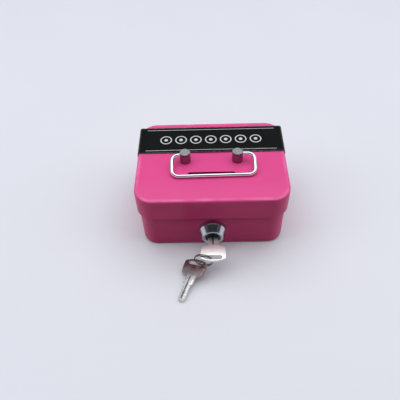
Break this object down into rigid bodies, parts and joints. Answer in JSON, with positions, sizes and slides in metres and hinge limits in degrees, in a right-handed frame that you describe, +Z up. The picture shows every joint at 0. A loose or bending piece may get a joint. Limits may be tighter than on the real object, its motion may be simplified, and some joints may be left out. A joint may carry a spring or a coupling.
{
  "type": "cash box",
  "caption": "Small pink steel cash box with a hinged slotted lid, wire bail handle on posts, conical wafer lock, keys on a split ring and a plain black card band.",
  "frame": {"origin": "centre of the tub's underside", "axes": "+X to the right seen from the front, +Y from the lock side to the hinge side, +Z up"},
  "size_m": [0.1262, 0.1501, 0.0682],
  "materials": {
    "pink_paint": "semi-gloss baked pink paint, thinner along the edges",
    "bright_chrome": "polished chrome plating",
    "key_nickel": "satin nickel plating with fine scratches",
    "ring_steel": "drawn spring steel wire",
    "zinc_steel": "zinc plated pressed steel",
    "wafer_brass": "stamped brass",
    "plug_metal": "dark turned die-cast metal",
    "black_card": "matt black printed card"
  },
  "bodies": {
    "base": {"base_shell": "pink_paint", "left_hinge_base_leaf": "zinc_steel", "right_hinge_base_leaf": "zinc_steel", "left_hinge_pin": "zinc_steel", "right_hinge_pin": "zinc_steel", "base_hinge_rivets": "zinc_steel", "lock_housing": "bright_chrome", "lock_washer": "zinc_steel", "lock_nut": "zinc_steel"},
    "lid": {"lid_shell": "pink_paint", "label_band": "black_card", "left_handle_post": "bright_chrome", "right_handle_post": "bright_chrome", "post_washers": "zinc_steel", "post_screws": "zinc_steel", "left_hinge_lid_leaf": "zinc_steel", "right_hinge_lid_leaf": "zinc_steel", "lid_hinge_rivets": "zinc_steel", "lid_catch": "zinc_steel"},
    "handle": {"handle_bail": "bright_chrome"},
    "plug": {"lock_plug": "plug_metal", "lock_cam": "zinc_steel", "cam_washer": "zinc_steel", "cam_screw": "zinc_steel"},
    "wafers": {"lock_wafers": "wafer_brass"},
    "key": {"lock_key": "key_nickel"},
    "ring": {"key_ring": "ring_steel"},
    "spare": {"spare_key": "key_nickel"}
  },
  "joints": [
    {"name": "lid_hinge", "type": "hinge", "parent": "base", "child": "lid", "pos_m": [0, 0.0467, 0.0347], "axis": [-1, 0, 0], "range_deg": [0, 105]},
    {"name": "handle_swing", "type": "hinge", "parent": "lid", "child": "handle", "pos_m": [0, -0.0012, 0.0654], "axis": [-1, 0, 0], "range_deg": [0, 208]},
    {"name": "lock_turn", "type": "hinge", "parent": "base", "child": "plug", "pos_m": [0, -0.0536, 0.0205], "axis": [0, 1, 0], "range_deg": [0, 90]},
    {"name": "key_pull", "type": "slide", "parent": "plug", "child": "key", "axis": [0, -1, 0], "range_m": [0, 0.018]},
    {"name": "wafer_slide", "type": "slide", "parent": "plug", "child": "wafers", "axis": [1, 0, 0], "range_m": [0, 0.0008]},
    {"name": "ring_turn", "type": "hinge", "parent": "key", "child": "ring", "pos_m": [-0.008, -0.07206, 0.01525], "axis": [0.1994, 0.9799, 0], "continuous": true},
    {"name": "spare_swing", "type": "hinge", "parent": "key", "child": "spare", "pos_m": [-0.008, -0.07206, 0.01525], "axis": [0.1994, 0.9799, 0], "range_deg": [0, 60]}
  ],
  "couplings": [
    {"joint": "wafer_slide", "follows": "key_pull", "ratio": 0.044444}
  ]
}
